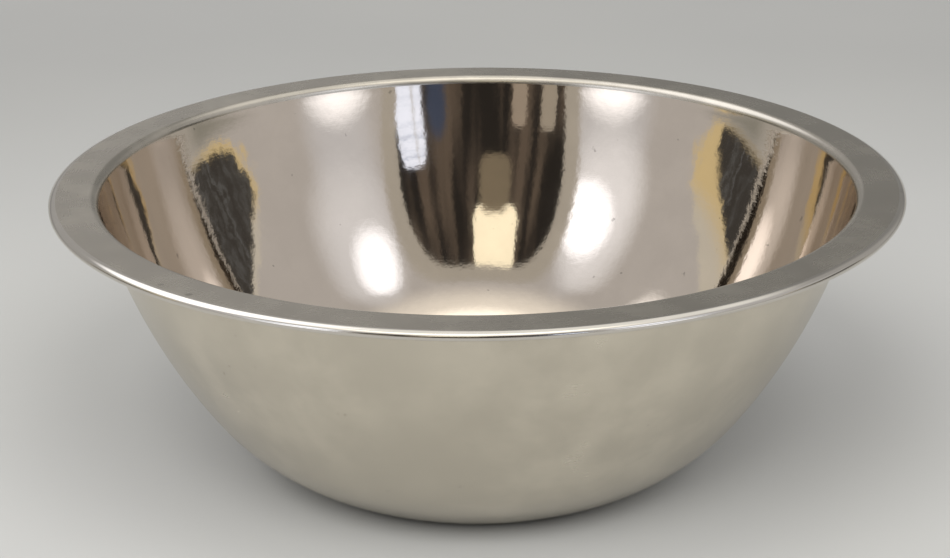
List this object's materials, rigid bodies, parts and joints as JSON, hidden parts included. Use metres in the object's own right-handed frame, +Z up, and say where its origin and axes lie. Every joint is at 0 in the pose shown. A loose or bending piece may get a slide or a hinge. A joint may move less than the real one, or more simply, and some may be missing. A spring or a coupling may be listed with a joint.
{
  "type": "mixing bowl",
  "caption": "Round pressed-steel mixing bowl with a flat base, flared curved wall, wide flat rim flange and rolled edge.",
  "frame": {"origin": "centre of the flat base's underside", "axes": "+Z up through the mouth, along the axis that the bowl is round about; X and Y lie in the surface it stands on"},
  "size_m": [0.3369, 0.337, 0.117],
  "materials": {
    "stainless_steel": "mirror polish inside and on the rolled edge, satin outside and on the rim flange"
  },
  "bodies": {
    "root": {"bowl_shell": "stainless_steel"}
  },
  "joints": []
}
